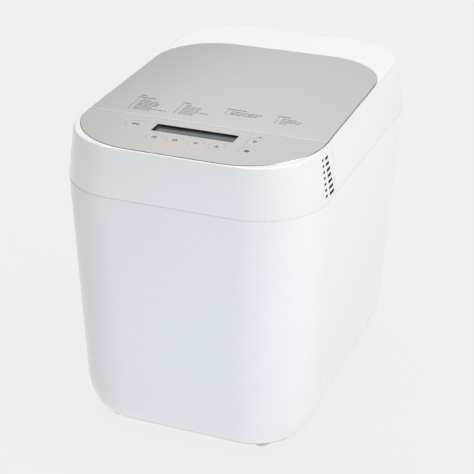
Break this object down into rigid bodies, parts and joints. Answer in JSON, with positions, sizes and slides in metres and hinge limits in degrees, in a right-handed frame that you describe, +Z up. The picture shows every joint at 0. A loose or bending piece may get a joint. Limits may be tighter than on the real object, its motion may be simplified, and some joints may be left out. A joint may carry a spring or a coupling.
{
  "type": "bread machine",
  "caption": "Tall rounded bread machine with a rear-hinged lid, a sloping control deck, a heated chamber with a lift-out pan and kneading blade, and a belt drive.",
  "frame": {"origin": "on the floor, under the middle of the whole outline", "axes": "+Z up, front with the control deck towards -Y, +X to the right when facing the front"},
  "size_m": [0.281, 0.412, 0.3499],
  "materials": {
    "white_shell": "moulded glossy white",
    "white_inner": "moulded satin white",
    "silver_panel": "fine metallic champagne silver, satin",
    "grey_button": "metallic silver like the panel, raised ring",
    "rubber": "matt",
    "silicone": "matt silicone",
    "steel": "bright",
    "display": "dark slate display behind a clear window",
    "dark_plastic": "moulded black",
    "circuit_board": "green solder mask",
    "led": "tinted light pipe",
    "chamber_metal": "satin",
    "element": "heat-darkened sheath",
    "fuse": "moulded",
    "plated_steel": "zinc plated",
    "cast_alloy": "die-cast alloy, satin",
    "grey_plastic": "heat-resistant moulded grey",
    "natural_plastic": "natural nylon",
    "brass": "turned",
    "nonstick": "speckled dark non-stick coating"
  },
  "bodies": {
    "housing": {"lower_body": "white_shell", "base_plate": "white_inner", "rubber_feet": "rubber", "case_screws": "steel", "control_housing": "white_shell", "control_panel": "silver_panel", "lcd_lens": "display", "lcd_module": "dark_plastic", "control_board": "circuit_board", "tact_switches": "dark_plastic", "status_led": "led", "vent_baffle": "dark_plastic", "top_deck": "white_inner", "oven_chamber": "chamber_metal", "heat_shield": "chamber_metal", "chamber_screws": "steel", "heating_element": "element", "element_clips": "steel", "temperature_sensor": "steel", "thermal_fuse": "fuse", "pan_clips": "steel", "chassis": "plated_steel", "drive_bearing": "cast_alloy", "drive_motor": "plated_steel", "drive_belt": "rubber", "power_board": "circuit_board", "board_components": "dark_plastic", "mains_inlet": "dark_plastic", "inlet_pins": "brass", "ribbon_cable": "natural_plastic", "hinge_brackets": "cast_alloy", "hinge_pins": "steel"},
    "lid": {"lid_cover": "white_shell", "lid_panel": "silver_panel", "lid_inner_cover": "grey_plastic", "reflector_plate": "chamber_metal", "lid_gasket": "silicone", "hinge_leaves": "cast_alloy", "lid_screws": "steel"},
    "select_button_cap": {"select_button": "grey_button"},
    "menu_button_cap": {"menu_button": "grey_button"},
    "size_button_cap": {"size_button": "grey_button"},
    "down_button_cap": {"down_button": "grey_button"},
    "up_button_cap": {"up_button": "grey_button"},
    "start_button_cap": {"start_button": "grey_button"},
    "stop_button_cap": {"stop_button": "grey_button"},
    "drive_train": {"drive_shaft": "steel", "drive_pulley": "natural_plastic", "drive_coupler": "grey_plastic"},
    "motor_rotor": {"motor_pulley": "steel", "cooling_fan": "dark_plastic"},
    "pan": {"bread_pan": "nonstick", "pan_base": "chamber_metal", "pan_bush": "brass", "handle_lugs": "steel"},
    "pan_handle": {"bail_handle": "steel", "handle_grip": "dark_plastic"},
    "agitator": {"pan_shaft": "steel"},
    "blade": {"kneading_blade": "nonstick"}
  },
  "joints": [
    {"name": "lid_hinge", "type": "hinge", "parent": "housing", "child": "lid", "pos_m": [0, 0.201, 0.284], "axis": [-1, 0, 0], "range_deg": [0, 80]},
    {"name": "select_button_press", "type": "slide", "parent": "housing", "child": "select_button_cap", "axis": [0, 0.0301, -0.9995], "range_m": [0, 0.0012], "stiffness_N_per_m": 400, "springref_m": -0.001},
    {"name": "menu_button_press", "type": "slide", "parent": "housing", "child": "menu_button_cap", "axis": [0, 0.0301, -0.9995], "range_m": [0, 0.0012], "stiffness_N_per_m": 400, "springref_m": -0.001},
    {"name": "size_button_press", "type": "slide", "parent": "housing", "child": "size_button_cap", "axis": [0, 0.0301, -0.9995], "range_m": [0, 0.0012], "stiffness_N_per_m": 400, "springref_m": -0.001},
    {"name": "down_button_press", "type": "slide", "parent": "housing", "child": "down_button_cap", "axis": [0, 0.0301, -0.9995], "range_m": [0, 0.0012], "stiffness_N_per_m": 400, "springref_m": -0.001},
    {"name": "up_button_press", "type": "slide", "parent": "housing", "child": "up_button_cap", "axis": [0, 0.0301, -0.9995], "range_m": [0, 0.0012], "stiffness_N_per_m": 400, "springref_m": -0.001},
    {"name": "start_button_press", "type": "slide", "parent": "housing", "child": "start_button_cap", "axis": [0, 0.0301, -0.9995], "range_m": [0, 0.0012], "stiffness_N_per_m": 400, "springref_m": -0.001},
    {"name": "stop_button_press", "type": "slide", "parent": "housing", "child": "stop_button_cap", "axis": [0, 0.0301, -0.9995], "range_m": [0, 0.0012], "stiffness_N_per_m": 400, "springref_m": -0.001},
    {"name": "drive_spin", "type": "hinge", "parent": "housing", "child": "drive_train", "pos_m": [0, 0.037, 0.05], "axis": [0, 0, 1], "continuous": true},
    {"name": "motor_spin", "type": "hinge", "parent": "housing", "child": "motor_rotor", "pos_m": [0, -0.118, 0.05], "axis": [0, 0, 1], "continuous": true},
    {"name": "pan_lift", "type": "slide", "parent": "housing", "child": "pan", "axis": [0, 0, 1], "range_m": [0, 0.01]},
    {"name": "handle_hinge", "type": "hinge", "parent": "pan", "child": "pan_handle", "pos_m": [0, 0.037, 0.228], "axis": [-1, 0, 0], "range_deg": [0, 152]},
    {"name": "agitator_spin", "type": "hinge", "parent": "pan", "child": "agitator", "pos_m": [0, 0.037, 0.11], "axis": [0, 0, 1], "continuous": true},
    {"name": "blade_lift", "type": "slide", "parent": "agitator", "child": "blade", "axis": [0, 0, 1], "range_m": [0, 0.018]}
  ],
  "couplings": [
    {"joint": "motor_spin", "follows": "drive_spin", "ratio": 3.75},
    {"joint": "agitator_spin", "follows": "drive_spin", "ratio": 1}
  ]
}
